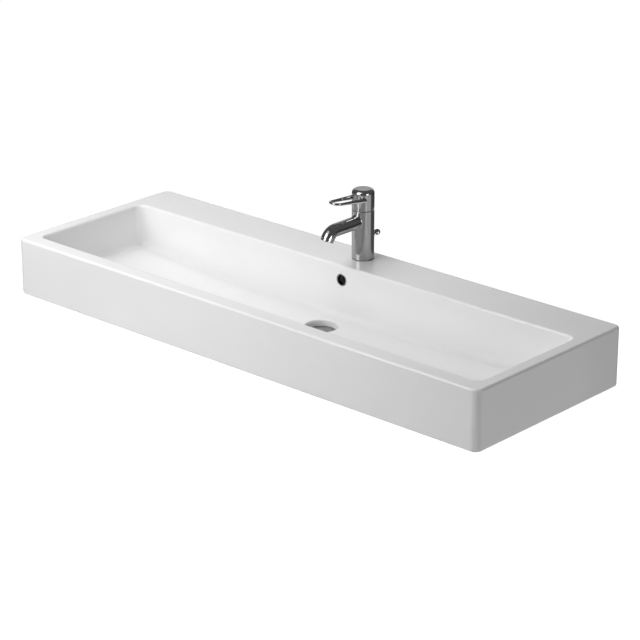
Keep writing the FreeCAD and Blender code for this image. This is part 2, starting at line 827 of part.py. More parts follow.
def horseshoe(z0, z1):
    plate = post(horseshoe_radius, tap_axis, z0, z1)
    half = inlet_offset + inlet_thread_radius + horseshoe_hose_gap
    mouth_front = tap_y - stud_forward + stud_radius + horseshoe_web
    mouth = box(-half, half, mouth_front, tap_y + horseshoe_radius + overrun, z0 - overrun, z1 + overrun)
    stud = post(stud_radius + slide_clearance, tap_axis - back * stud_forward, z0 - overrun, z1 + overrun)
    reach = horseshoe_radius + overrun
    behind = box(-reach, reach, tap_y + horseshoe_arm, tap_y + reach, z0 - overrun, z1 + overrun)
    return plate.cut([mouth, stud, behind])


def mounting_nut(top):
    centre = tap_axis - back * stud_forward
    low = top - mounting_nut_height
    nut = hexagon(mounting_nut_flats, V(centre.x, centre.y, low), V(centre.x, centre.y, top))
    return nut.cut(post(stud_radius + running_clearance, centre, low - overrun, top + overrun))


def mixer_nodes():
    plate_z = under_deck_z - horseshoe_gasket_thickness
    nut_z = plate_z - horseshoe_thickness
    return {
        "mixer_body": mixer_body(),
        "mixer_base_seal": ring(mixer_radius - base_seal_inset, tap_hole_radius + base_seal_land, tap_axis,
                                rim_z, base_z),
        "aerator_housing": aerator_housing(),
        "aerator_insert": aerator_insert(),
        "aerator_washer": aerator_washer(),
        "mounting_stud": post(stud_radius, tap_axis - back * stud_forward, under_deck_z - stud_below_deck,
                              base_z + stud_engagement),
        "horseshoe_gasket": horseshoe(plate_z, under_deck_z),
        "horseshoe_plate": horseshoe(nut_z, plate_z),
        "mounting_nut": mounting_nut(nut_z),
    }


# Cartridge


def port_places():
    return inlet_places() + [tap_axis + back * port_spread]


def port_holes(z0, z1):
    return [post(port_hole_radius, p, z0 - overrun, z1 + overrun) for p in port_places()]


def cartridge_base():
    plate = post(cartridge_radius, tap_axis, chamber_z, fixed_disc_z)
    pocket_radius = port_seal_radius + running_clearance
    pockets = [post(pocket_radius, p, chamber_z - overrun, chamber_z + port_seal_thickness)
               for p in inlet_places()]
    return plate.cut(port_holes(chamber_z, fixed_disc_z) + pockets)


def cartridge_seals():
    top = chamber_z + port_seal_thickness
    return Part.makeCompound([ring(port_seal_radius, inlet_duct_radius, p, chamber_z, top)
                              for p in inlet_places()])


def fixed_disc():
    radius = housing_bore_radius - fixed_disc_gap
    disc = post(radius, tap_axis, fixed_disc_z, fixed_disc_z + disc_thickness)
    return disc.cut(port_holes(fixed_disc_z, carrier_z))


def moving_disc():
    # A shallow pocket in the underside joins the ports below it.
    disc = post(moving_disc_radius, tap_axis, moving_disc_z, carrier_z)
    pocket = post(port_spread, tap_axis, moving_disc_z - overrun, moving_disc_z + disc_thickness / 2)
    return disc.cut(pocket)


def disc_carrier():
    carrier = post(moving_disc_radius, tap_axis, carrier_z, carrier_z + carrier_height)
    return carrier.cut(post(stem_ball_radius + slide_clearance, tap_axis, carrier_z - overrun,
                            carrier_z + carrier_height + overrun))


def cartridge_housing():
    shell = ring(cartridge_radius, housing_bore_radius, tap_axis, fixed_disc_z, housing_top_z)
    lip = ring(cartridge_radius, rotor_radius + running_clearance, tap_axis, housing_top_z - housing_lip,
               housing_top_z)
    return shell.fuse(lip).removeSplitter()


def cartridge_rotor():
    column = post(rotor_radius, tap_axis, rotor_low_z, nut_top_z)
    flange_top = housing_top_z - housing_lip - running_clearance
    flange = post(rotor_flange_radius, tap_axis, rotor_low_z, flange_top)
    half = stem_side / 2 + slide_clearance
    swing = (pivot_z - rotor_low_z) * math.tan(math.radians(tilt_max_deg)) + half + slot_clearance
    slot = box(-half, half, tap_y - swing, tap_y + swing, rotor_low_z - overrun, nut_top_z + overrun)
    reach = right * cartridge_radius
    pin = rod(stem_pin_radius + running_clearance, pivot - reach, pivot + reach)
    return column.fuse(flange).cut([slot, pin]).removeSplitter()


def stem_pin():
    reach = right * (rotor_radius - slot_clearance)
    return rod(stem_pin_radius, pivot - reach, pivot + reach)


def cartridge_stem():
    half = stem_side / 2
    shaft = box(-half, half, tap_y - half, tap_y + half, rotor_low_z + half, stem_top_z)
    neck = post(stem_neck_radius, tap_axis, stem_ball_z, rotor_low_z + stem_side)
    ball = Part.makeSphere(stem_ball_radius, V(0, tap_y, stem_ball_z))
    pin = rod(stem_pin_radius + running_clearance, pivot - right * stem_side, pivot + right * stem_side)
    return shaft.fuse([neck, ball]).cut(pin).removeSplitter()


def cartridge_nut():
    return ring(chamber_radius - seat_clearance, rotor_radius + slot_clearance, tap_axis, housing_top_z,
                nut_top_z)


def dome_cover():
    # A ball-shaped cover about the lever's pivot, so the tilting cap keeps its distance from it.
    shell = Part.makeSphere(dome_radius, pivot).cut(Part.makeSphere(dome_radius - dome_wall, pivot))
    band = post(dome_radius + overrun, tap_axis, nut_top_z, pivot_z + dome_radius + overrun)
    half_diagonal = stem_side / math.sqrt(2)
    swing = dome_radius * math.sin(math.radians(tilt_max_deg)) + half_diagonal
    mouth = post(swing + dome_mouth_room, tap_axis, pivot_z, pivot_z + dome_radius + overrun)
    return shell.common(band).cut(mouth)


def cartridge_nodes():
    return {
        "cartridge_base": cartridge_base(),
        "cartridge_seals": cartridge_seals(),
        "fixed_disc": fixed_disc(),
        "moving_disc": moving_disc(),
        "disc_carrier": disc_carrier(),
        "cartridge_housing": cartridge_housing(),
        "cartridge_rotor": cartridge_rotor(),
        "stem_pin": stem_pin(),
        "cartridge_stem": cartridge_stem(),
        "cartridge_nut": cartridge_nut(),
        "dome_cover": dome_cover(),
    }


# Handle


def leg_run():
    # The right leg's line: where it meets the cap's front, and where it touches the half-round tip.
    root = V(loop_root_half_width, tap_y - mixer_radius, loop_z)
    centre = V(0, tap_y - loop_reach + loop_bar_radius + loop_tip_half_width, loop_z)
    length = (root - centre).Length
    lean = math.degrees(math.asin(loop_tip_half_width / length))
    way = FreeCAD.Rotation(up, lean).multVec((centre - root).normalize())
    return root, root + way * math.sqrt(length * length - loop_tip_half_width * loop_tip_half_width), way


def loop_path():
    # Two straight legs, drawn together from the cap to a rounded tip.
    root, touch, way = leg_run()
    inner = root - way * loop_grip
    tip = V(0, tap_y - loop_reach + loop_bar_radius, loop_z)
    left_inner = V(-inner.x, inner.y, inner.z)
    left_touch = V(-touch.x, touch.y, touch.z)
    arc = Part.Arc(left_touch, tip, touch).toShape()
    return Part.Wire([Part.makeLine(left_inner, left_touch), arc, Part.makeLine(touch, inner)])


def risen(shape):
    # Turned about the cap's front, so that the loop rises towards its tip.
    shape.rotate(V(0, tap_y - mixer_radius, loop_z), right, -loop_rise_deg)
    return shape


def lever_loop():
    return risen(pipe(loop_bar_radius, loop_path()))


def leg_holes():
    root, touch, way = leg_run()
    hole = risen(rod(loop_bar_radius + running_clearance, root - way * (loop_grip + overrun), touch))
    return [hole, hole.mirror(tap_axis, right)]


def relief():
    # The cap's lower edge rises behind the axis, so the cap can tilt back without touching the column.
    reach = mixer_radius + overrun
    rise = reach * math.tan(math.radians(cap_relief_deg))
    under = cap_low_z - overrun
    points = [(0, cap_low_z), (reach, cap_low_z + rise), (reach, under), (0, under)]
    outline = [V(-reach, tap_y + y, z) for y, z in points]
    return Part.Face(Part.Wire(Part.makePolygon(outline + outline[:1]))).extrude(V(2 * reach, 0, 0))


def handle_cap():
    cap = post(mixer_radius, tap_axis, cap_low_z, cap_top_z)
    cap = cap.makeFillet(cap_top_fillet, edges_at(cap, cap_top_z))
    cap = cap.makeFillet(cap_foot_fillet, edges_at(cap, cap_low_z))
    roof_z = cap_top_z - cap_roof
    hollow = post(cap_bore_radius, tap_axis, cap_low_z - overrun, roof_z)
    hollow = hollow.makeFillet(cap_top_fillet - cap_wall, edges_at(hollow, roof_z))
    hub = post(hub_radius, tap_axis, hub_low_z, roof_z + cap_roof / 2)
    half = stem_side / 2 + running_clearance
    stem_hole = box(-half, half, tap_y - half, tap_y + half, hub_low_z - overrun,
                    stem_top_z + running_clearance)
    hub_front = V(0, tap_y - hub_radius - slot_clearance, button_z)
    screw_hole = rod(set_screw_radius + running_clearance, V(0, tap_y, button_z), hub_front)
    button_hole = rod(button_radius + running_clearance, hub_front,
                      V(0, tap_y - mixer_radius - overrun, button_z))
    shell = cap.cut([hollow, relief()]).fuse(hub)
    return shell.cut([stem_hole, screw_hole, button_hole] + leg_holes()).removeSplitter()


def index_button():
    front = V(0, tap_y - mixer_radius - button_crown, button_z)
    button = rod(button_radius, front + back * button_depth, front)
    rim = [e for e in button.Edges if e.BoundBox.YMax < front.y + match_tolerance]
    return button.makeFillet(button_crown, rim)


def handle_set_screw():
    inner = V(0, tap_y - stem_side / 2 - running_clearance, button_z)
    return rod(set_screw_radius, inner, inner - back * set_screw_length)


def handle_nodes():
    return {
        "handle_cap": handle_cap(),
        "lever_loop": lever_loop(),
        "index_button": index_button(),
        "handle_set_screw": handle_set_screw(),
    }


def all_nodes():
    nodes = {"basin_body": basin_body(), "overflow_ring": overflow_ring()}
    nodes.update(waste_nodes())
    nodes.update(lift_nodes())
    nodes.update(mixer_nodes())
    nodes.update(cartridge_nodes())
    nodes.update(handle_nodes())
    return nodes


os.makedirs("parts", exist_ok=True)
for name, shape in all_nodes().items():
    print(name, "valid", shape.isValid(), "solids", len(shape.Solids), "volume", round(shape.Volume, 1))
    save(name, shape)
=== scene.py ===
import json
import math

import bmesh
import bpy
import numpy as np
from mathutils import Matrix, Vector


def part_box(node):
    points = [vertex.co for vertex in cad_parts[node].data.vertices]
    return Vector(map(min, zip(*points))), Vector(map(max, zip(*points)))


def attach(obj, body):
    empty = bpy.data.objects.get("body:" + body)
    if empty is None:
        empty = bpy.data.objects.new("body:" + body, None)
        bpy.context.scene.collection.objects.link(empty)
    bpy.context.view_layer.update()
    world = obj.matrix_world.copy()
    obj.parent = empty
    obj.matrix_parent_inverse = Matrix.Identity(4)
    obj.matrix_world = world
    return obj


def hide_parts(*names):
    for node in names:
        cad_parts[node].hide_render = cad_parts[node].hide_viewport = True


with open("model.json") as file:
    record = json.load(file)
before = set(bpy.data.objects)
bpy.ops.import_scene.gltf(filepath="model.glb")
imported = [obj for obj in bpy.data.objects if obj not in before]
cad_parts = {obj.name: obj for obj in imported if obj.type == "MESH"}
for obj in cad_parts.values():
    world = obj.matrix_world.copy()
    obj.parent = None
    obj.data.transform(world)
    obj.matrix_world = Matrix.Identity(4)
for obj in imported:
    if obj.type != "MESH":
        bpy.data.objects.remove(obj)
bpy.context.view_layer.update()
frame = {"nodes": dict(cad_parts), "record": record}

nodes = frame["nodes"]
mm = 0.001
print("frame loaded:", len(nodes), "nodes")


# Colour and shader nodes

def linear(hexColour):
    # sRGB to linear: divided by 12.92 in the dark foot, a power of 2.4 above it
    srgb = np.array([int(hexColour[i:i + 2], 16) for i in (1, 3, 5)]) / 255
    bright = ((srgb + 0.055) / 1.055) ** 2.4
    return (*np.where(srgb <= 0.04045, srgb / 12.92, bright).tolist(), 1.0)


def addNode(tree, kind, inputs=None, **settings):
    # settings are the node's own properties, inputs are values or the sockets linked into it
    made = tree.nodes.new(kind)
    for key, value in settings.items():
        setattr(made, key, value)
    for key, value in (inputs or {}).items():
        if isinstance(value, bpy.types.NodeSocket):
            tree.links.new(value, made.inputs[key])
        else:
            made.inputs[key].default_value = value
    return made


def perMetre(sizeMm):
    # a noise texture's scale for features about this many millimetres across
    return 1 / (sizeMm * mm)


def newMaterial(name):
    made = bpy.data.materials.new(name)
    made.use_nodes = True
    made.node_tree.nodes.clear()
    place = addNode(made.node_tree, "ShaderNodeTexCoord").outputs["Object"]
    return made, made.node_tree, place


# Vitreous china, sprayed and fired: a white body under a clear glaze that levels almost flat.
# The eye sees a soft mirror over white, with a slow waviness and a greyer bare back face;
# the dark inside the overflow duct is painted shade.
glazeSettings = {"white": "#eeeeee", "thin": "#e8e8e8", "bisque": "#d9d3c6", "ior": 1.52,
                 "waveMm": 26.0, "waveDeepMm": 0.012, "peelMm": 2.2, "peelDeepMm": 0.0015,
                 "patchMm": 150.0, "patchSpan": (0.3, 0.7), "gloss": (0.06, 0.12),
                 "bareBackMm": 0.6, "paintedDuctShade": "#3c3b38", "ductBehindMm": 13.0,
                 "ductShadeMm": (15.0, 19.0)}


def glazedChina():
    s = glazeSettings
    made, tree, place = newMaterial("vitreousChinaSprayGlazed")
    # cloudy colour, bare at the back face, and painted shade darkening the china round the overflow
    # duct
    patch = addNode(tree, "ShaderNodeTexNoise", {
        "Vector": place, "Scale": perMetre(s["patchMm"]), "Detail": 3.0, "Roughness": 0.55})
    tint = addNode(tree, "ShaderNodeMix", {
        "Factor": patch.outputs["Fac"], 6: linear(s["white"]), 7: linear(s["thin"])},
        data_type="RGBA")
    axes = addNode(tree, "ShaderNodeSeparateXYZ", {"Vector": place})
    bare = addNode(tree, "ShaderNodeMapRange", {
        "Value": axes.outputs["Y"], "From Min": -2 * s["bareBackMm"] * mm,
        "From Max": -s["bareBackMm"] * mm})
    shell = addNode(tree, "ShaderNodeMix", {
        "Factor": bare.outputs["Result"], 6: tint.outputs[2], 7: linear(s["bisque"])},
        data_type="RGBA")
    # painted shade: the china turns dark within a ball round a point inside the overflow duct
    low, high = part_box("overflow_ring")
    ductMiddle = ((low[0] + high[0]) / 2, high[1] + s["ductBehindMm"] * mm, (low[2] + high[2]) / 2)
    away = addNode(tree, "ShaderNodeVectorMath", {0: place, 1: ductMiddle}, operation="DISTANCE")
    outsideDuctShade = addNode(tree, "ShaderNodeMapRange", {
        "Value": away.outputs["Value"], "From Min": s["ductShadeMm"][0] * mm,
        "From Max": s["ductShadeMm"][1] * mm})
    colour = addNode(tree, "ShaderNodeMix", {
        "Factor": outsideDuctShade.outputs["Result"], 6: linear(s["paintedDuctShade"]), 7: shell.outputs[2]},
        data_type="RGBA")
    # gloss follows the clouds, and the bare back has none
    gloss = addNode(tree, "ShaderNodeMapRange", {
        "Value": patch.outputs["Fac"], "From Min": s["patchSpan"][0],
        "From Max": s["patchSpan"][1], "To Min": s["gloss"][0], "To Max": s["gloss"][1]})
    rough = addNode(tree, "ShaderNodeMath", {
        0: gloss.outputs["Result"], 1: bare.outputs["Result"]}, operation="MAXIMUM")
    # a slow wave and a fine peel in the glaze
    wave = addNode(tree, "ShaderNodeTexNoise", {
        "Vector": place, "Scale": perMetre(s["waveMm"]), "Detail": 1.0})
    peel = addNode(tree, "ShaderNodeTexNoise", {
        "Vector": place, "Scale": perMetre(s["peelMm"]), "Detail": 2.0})
    slow = addNode(tree, "ShaderNodeBump", {
        "Height": wave.outputs["Fac"], "Distance": s["waveDeepMm"] * mm})
    fine = addNode(tree, "ShaderNodeBump", {
        "Height": peel.outputs["Fac"], "Distance": s["peelDeepMm"] * mm,
        "Normal": slow.outputs["Normal"]})
    shader = addNode(tree, "ShaderNodeBsdfPrincipled", {
        "Base Color": colour.outputs[2], "Roughness": rough.outputs["Value"], "IOR": s["ior"],
        "Normal": fine.outputs["Normal"]})
    addNode(tree, "ShaderNodeOutputMaterial", {"Surface": shader.outputs["BSDF"]})
    return made


# Metals differ in colour, in how their lines run and in how rough those lines leave the surface.
# Chrome plate is a near mirror with faint buffing haze, and satin chrome a rougher one whose darker
# colour is painted shade of the drain recess; turned brass has close rings, drawn steel long lines.
# The lines are drawn coarser than real ones, to show.
metalSettings = {
    "brassPolishedChromePlated": {"bright": "#bebebf", "dull": "#b0b0b1", "lineMm": 14.0,
                                  "stretch": (1.0, 1.0, 1.0), "gloss": (0.03, 0.08),
                                  "deepMm": 0.006},
    # satin chrome: rougher than the plate, and its darker colour is painted shade of the drain
    # recess
    "brassSatinChromeShadeDarkened": {"bright": "#909091", "dull": "#7b7b7c", "lineMm": 9.0,
                               "stretch": (1.0, 1.0, 1.0), "gloss": (0.1, 0.18),
                               "deepMm": 0.004},
    "brassTurnedBare": {"bright": "#c9a458", "dull": "#9c7a3c", "lineMm": 3.0,
                        "stretch": (1.0, 1.0, 14.0), "gloss": (0.22, 0.42), "deepMm": 0.02},
    "stainlessSteelDrawn": {"bright": "#b9babc", "dull": "#8f9092", "lineMm": 2.5,
                            "stretch": (9.0, 9.0, 0.6), "gloss": (0.2, 0.38), "deepMm": 0.012},
}
metalLines = {"detail": 4.0, "span": (0.35, 0.7)}


def lappedMetal(name):
    s = metalSettings[name]
    made, tree, place = newMaterial(name)
    along = addNode(tree, "ShaderNodeVectorMath", {0: place, 1: s["stretch"]}, operation="MULTIPLY")
    lines = addNode(tree, "ShaderNodeTexNoise", {
        "Vector": along.outputs["Vector"], "Scale": perMetre(s["lineMm"]),
        "Detail": metalLines["detail"]})
    colour = addNode(tree, "ShaderNodeMix", {
        "Factor": lines.outputs["Fac"], 6: linear(s["bright"]), 7: linear(s["dull"])},
        data_type="RGBA")
    gloss = addNode(tree, "ShaderNodeMapRange", {
        "Value": lines.outputs["Fac"], "From Min": metalLines["span"][0],
        "From Max": metalLines["span"][1], "To Min": s["gloss"][0], "To Max": s["gloss"][1]})
    bump = addNode(tree, "ShaderNodeBump", {
        "Height": lines.outputs["Fac"], "Distance": s["deepMm"] * mm})
    shader = addNode(tree, "ShaderNodeBsdfPrincipled", {
        "Base Color": colour.outputs[2], "Metallic": 1.0, "Roughness": gloss.outputs["Result"],
        "Normal": bump.outputs["Normal"]})
    addNode(tree, "ShaderNodeOutputMaterial", {"Surface": shader.outputs["BSDF"]})
    return made


# Moulded and pressed pieces: rubber with a matt bloom, acetal with faint flow, lapped alumina
# and a gloss button. Their grain is drawn coarser than the real one, to show.
mouldedSettings = {
    "nitrileRubberMoulded": {"deep": "#161617", "pale": "#2a2a2b", "flowMm": 5.0,
                             "grainMm": 0.5, "deepMm": 0.03, "gloss": (0.55, 0.8)},
    "acetalMouldedMatt": {"deep": "#c6c6c2", "pale": "#dcdcd8", "flowMm": 9.0,
                          "grainMm": 0.6, "deepMm": 0.012, "gloss": (0.35, 0.5)},
    "aluminaPressedLapped": {"deep": "#e2dcd0", "pale": "#ece8e0", "flowMm": 4.0,
                             "grainMm": 0.3, "deepMm": 0.003, "gloss": (0.14, 0.22)},
    "absMouldedGloss": {"deep": "#7e8083", "pale": "#8f9194", "flowMm": 6.0,
                        "grainMm": 1.2, "deepMm": 0.003, "gloss": (0.1, 0.18)},
}
mouldedGrain = {"flowDetail": 3.0, "grainDetail": 2.0, "span": (0.3, 0.7), "ior": 1.48}


def moulded(name):
    s = mouldedSettings[name]
    made, tree, place = newMaterial(name)
    flow = addNode(tree, "ShaderNodeTexNoise", {
        "Vector": place, "Scale": perMetre(s["flowMm"]), "Detail": mouldedGrain["flowDetail"]})
    grain = addNode(tree, "ShaderNodeTexNoise", {
        "Vector": place, "Scale": perMetre(s["grainMm"]), "Detail": mouldedGrain["grainDetail"]})
    colour = addNode(tree, "ShaderNodeMix", {
        "Factor": flow.outputs["Fac"], 6: linear(s["deep"]), 7: linear(s["pale"])},
        data_type="RGBA")
    gloss = addNode(tree, "ShaderNodeMapRange", {
        "Value": grain.outputs["Fac"], "From Min": mouldedGrain["span"][0],
        "From Max": mouldedGrain["span"][1], "To Min": s["gloss"][0], "To Max": s["gloss"][1]})
    bump = addNode(tree, "ShaderNodeBump", {
        "Height": grain.outputs["Fac"], "Distance": s["deepMm"] * mm})
    shader = addNode(tree, "ShaderNodeBsdfPrincipled", {
        "Base Color": colour.outputs[2], "Roughness": gloss.outputs["Result"],
        "IOR": mouldedGrain["ior"], "Normal": bump.outputs["Normal"]})
    addNode(tree, "ShaderNodeOutputMaterial", {"Surface": shader.outputs["BSDF"]})
    return made


finishes = {"glazed_ceramic": glazedChina(), "chrome": lappedMetal("brassPolishedChromePlated"),
            "brass": lappedMetal("brassTurnedBare"), "steel": lappedMetal("stainlessSteelDrawn"),
            "rubber": moulded("nitrileRubberMoulded"), "plastic": moulded("acetalMouldedMatt"),
            "alumina": moulded("aluminaPressedLapped"), "button": moulded("absMouldedGloss"),
            "satinWithPaintedShade": lappedMetal("brassSatinChromeShadeDarkened")}
# each node takes its slot's finish, apart from the plug and its flange, which take a rougher satin
# chrome whose darker colour is painted shade of the recess they sit in
slotOf = {row["node"]: row["material_slot"] for row in frame["record"]["subparts"]}
finishOf = {**slotOf, "plug_cap": "satinWithPaintedShade", "waste_flange": "satinWithPaintedShade"}
for node, finish in finishOf.items():
    nodes[node].data.materials.clear()
    nodes[node].data.materials.append(finishes[finish])
bodyOf = {}
for body, members in frame["record"]["behaviour"]["bodies"].items():
    bodyOf.update(dict.fromkeys(members, body))
print("materials:", len(bpy.data.materials))


# Shapes, with their settings in millimetres

def span(node):
    # a node's middle and its whole size along X, Y and Z
    low, high = (np.array(corner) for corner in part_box(node))
    return (low + high) / 2, high - low


def smoothed(corners, closed=False, steps=6):
    # corners are (radius, height, rounding), and a parabola takes the place of each: with s going
    # from 0 to 1, (1 - s) squared of a point on the side before it, 2 s (1 - s) of the corner
    # and s squared of a point on the side after it
    points = np.array([c[:2] for c in corners])
    toLast = np.roll(points, 1, 0) - points
    toNext = np.roll(points, -1, 0) - points
    s = np.linspace(0, 1, steps)[:, None]
    out = []
    for i, (*_, rounding) in enumerate(corners):
        atEnd = not closed and i in (0, len(corners) - 1)
        if rounding == 0 or atEnd:
            out.append(points[i:i + 1])
            continue
        first = points[i] + toLast[i] / np.linalg.norm(toLast[i]) * rounding
        last = points[i] + toNext[i] / np.linalg.norm(toNext[i]) * rounding
        out.append((1 - s) ** 2 * first + 2 * s * (1 - s) * points[i] + s ** 2 * last)
    return np.concatenate(out)


def revolve(radius, height, sides):
    # rows of (radius, height) carried once round Z: x is r cos a and y is r sin a;
    # the radius may differ from side to side
    turn = np.linspace(0, 2 * np.pi, sides, endpoint=False)
    radius = radius * np.ones(sides)
    return np.stack([radius * np.cos(turn), radius * np.sin(turn), height + 0 * turn], -1)


def aimed(points, origin, axis, upright=0.999):
    # local Z laid along the axis and local X kept level; an upright axis leaves X as it is
    w = np.array(axis, float)
    w /= np.linalg.norm(w)
    u = np.cross((0, 0, 1), w) if abs(w[2]) < upright else np.array((1.0, 0.0, 0.0))
    u /= np.linalg.norm(u)
    return origin + points @ np.stack([u, np.cross(w, u), w])


skinSettings = {"weldMm": 0.001, "sharpDeg": 35.0}
piecesMade = []


def addPiece(name, grid, node, closedRows=False):
    # a skin of four-sided faces over a grid of rows and sides, standing for one node
    rows, sides = grid.shape[:2]
    lastRow = rows if closedRows else rows - 1
    row, side = np.meshgrid(np.arange(lastRow), np.arange(sides), indexing="ij")
    row, side = row.ravel(), side.ravel()
    nextRow, nextSide = (row + 1) % rows, (side + 1) % sides
    faces = np.stack([row * sides + side, row * sides + nextSide,
                      nextRow * sides + nextSide, nextRow * sides + side], 1)
    mesh = bpy.data.meshes.new(name)
    mesh.from_pydata(grid.reshape(-1, 3).tolist(), [], faces.tolist())
    skin = bmesh.new()
    skin.from_mesh(mesh)
    bmesh.ops.remove_doubles(skin, verts=skin.verts, dist=skinSettings["weldMm"] * mm)
    bmesh.ops.recalc_face_normals(skin, faces=skin.faces)
    skin.to_mesh(mesh)
    skin.free()
    mesh.shade_smooth()
    mesh.set_sharp_from_angle(angle=math.radians(skinSettings["sharpDeg"]))
    mesh.materials.append(finishes[finishOf[node]])
    piece = bpy.data.objects.new(name, mesh)
    bpy.context.scene.collection.objects.link(piece)
    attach(piece, bodyOf[node])
    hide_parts(node)
    piecesMade.append(name)


def threadWave(height, turn, pitch):
    # a triangle wave from 0 to 1 that climbs one pitch in each turn
    phase = (height / pitch - turn / (2 * np.pi)) % 1
    return np.abs(2 * phase - 1)


# Lever: a flat loop of forged bar, its legs drawn apart towards the cap and deeper there.
# The tip is part of a circle, and each leg is the tangent from it to the leg's place in the cap.
# An ellipse is carried along that line, and its half width and half height grow with a power of
# the way back from the tip.
leverSettings = {"tipHalf": 13.0, "rootHalf": 16.5, "tipBar": (2.5, 2.5), "rootBar": (3.4, 4.7),
                 "tipBack": 2.5, "tipDrop": 0.6, "rootDrop": 2.1, "deepPower": 1.2,
                 "grip": 13.0, "rows": 181, "sides": 28}


def leverLoop():
    s = leverSettings
    tip, rootHalf = s["tipHalf"], s["rootHalf"]
    low, high = (np.array(c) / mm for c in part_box("lever_loop"))
    front = low[1] + s["tipBack"] + s["tipBar"][0]
    length = high[1] - front
    reach = length - tip
    # how far the legs lean away from straight back
    lean = math.acos(tip / math.hypot(rootHalf, reach)) - math.atan2(reach, rootHalf)
    arc = tip * (math.pi / 2 - lean)
    leg = (length - tip * (1 - math.sin(lean))) / math.cos(lean)
    t = np.linspace(-1, 1, s["rows"])
    path = np.abs(t) * (arc + leg)
    angle = np.minimum(path, arc) / tip
    onLeg = np.maximum(path - arc, 0)
    back = tip * (1 - np.cos(angle)) + onLeg * math.cos(lean)
    half = tip * np.sin(angle) + onLeg * math.sin(lean)
    rise = high[2] - low[2] - 2 * s["tipBar"][1]
    deep = np.minimum(back / (length - s["grip"]), 1) ** s["deepPower"]
    drop = s["tipDrop"] + (s["rootDrop"] - s["tipDrop"]) * deep
    level = high[2] - s["tipBar"][1] - rise * back / length - drop
    line = np.stack([np.sign(t) * half, front + back, level], -1)
    along = np.gradient(line, axis=0)
    along /= np.linalg.norm(along, axis=1)[:, None]
    aside = np.cross(along, (0, 0, 1))
    aside /= np.linalg.norm(aside, axis=1)[:, None]
    upward = np.cross(aside, along)
    tipBar, rootBar = np.array(s["tipBar"]), np.array(s["rootBar"])
    bar = tipBar + deep[:, None] * (rootBar - tipBar)
    turn = np.linspace(0, 2 * np.pi, s["sides"], endpoint=False)
    grid = (line[:, None] + aside[:, None] * (bar[:, :1] * np.cos(turn))[..., None]
            + upward[:, None] * (bar[:, 1:] * np.sin(turn))[..., None])
    ends = [np.repeat(line[i][None, None], s["sides"], 1) for i in (0, -1)]
    addPiece("leverLoopForged", np.concatenate([ends[0], grid, ends[1]]) * mm, "lever_loop")


# Aerator: a turned ring that closes the spout, with a fine groove round its skirt and a rolled
# mouth. A closed profile of rounded corners is carried once round the axis of the spout's end.
aeratorSettings = {"bendDeg": 62.0, "skirt": 4.6, "barrel": 5.5, "barrelIn": 1.3, "bore": 10.0,
                   "roll": 0.7, "groove": (0.9, 0.35), "grooveEdge": 0.1, "barrelEdge": 0.2,
                   "sides": 96}


def aeratorRing():
    s = aeratorSettings
    low, high = (np.array(c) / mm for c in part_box("aerator_housing"))
    radius = (high[0] - low[0]) / 2
    bend = math.radians(s["bendDeg"])
    mouth = np.array(((low[0] + high[0]) / 2, low[1] + radius * math.sin(bend),
                      low[2] + radius * math.cos(bend)))
    at, deep = s["groove"]
    top, end = -s["skirt"], -s["skirt"] - s["barrel"]
    barrel = radius - s["barrelIn"]
    corners = [(s["bore"], 0, s["roll"]), (radius, 0, s["roll"]),
               (radius, top + at, s["grooveEdge"]), (radius - deep, top + at, s["grooveEdge"]),
               (radius - deep, top, s["grooveEdge"]), (barrel, top, 0),
               (barrel, end, s["barrelEdge"]), (s["bore"], end, s["barrelEdge"])]
    profile = smoothed(corners, closed=True) * mm
    ring = revolve(profile[:, :1], profile[:, 1:], s["sides"])
    grid = aimed(ring, mouth * mm, (0, -math.cos(bend), -math.sin(bend)))
    addPiece("aeratorRingTurned", grid, "aerator_housing", closedRows=True)


# Pull knob: a ball on a short collar, turned in one piece. The profile is a circle's arc down to
# the collar's radius, then the collar's rounded foot, carried once round the sloping axis.
knobSettings = {"slopeDeg": 35.0, "asideDeg": 15.0, "collar": 3.0, "collarLong": 3.2,
                "collarEdge": 0.6, "rows": 64, "sides": 48}


def pullKnob():
    s = knobSettings
    middle, size = span("lift_knob")
    ball = size[2] / 2 / mm
    neck = math.asin(s["collar"] / ball)
    turn = np.linspace(0, np.pi - neck, s["rows"])
    ballPart = np.stack([ball * np.sin(turn), ball * np.cos(turn)], 1)
    foot = -ball * math.cos(neck)
    end = foot - s["collarLong"]
    collar = smoothed([(s["collar"], foot, 0), (s["collar"], end, s["collarEdge"]), (0, end, 0)])
    profile = np.concatenate([ballPart, collar]) * mm
    slope, aside = math.radians(s["slopeDeg"]), math.radians(s["asideDeg"])
    axis = (math.sin(aside) * math.cos(slope), math.cos(aside) * math.cos(slope),
            math.sin(slope))
    grid = revolve(profile[:, :1], profile[:, 1:], s["sides"])
    addPiece("pullKnobTurned", aimed(grid, middle, axis), "lift_knob")


# Plug: a spun dome with a fine groove near its rounded rim. The dome falls with the square of the
# distance from the middle, a bell curve cuts the groove, and the profile goes once round Z.
plugSettings = {"crown": 1.6, "grooveAt": 0.84, "grooveWide": 0.5, "grooveDeep": 0.3, "rim": 0.8,
                "rimRound": 0.9, "footEdge": 0.4, "rows": 70, "sides": 96}


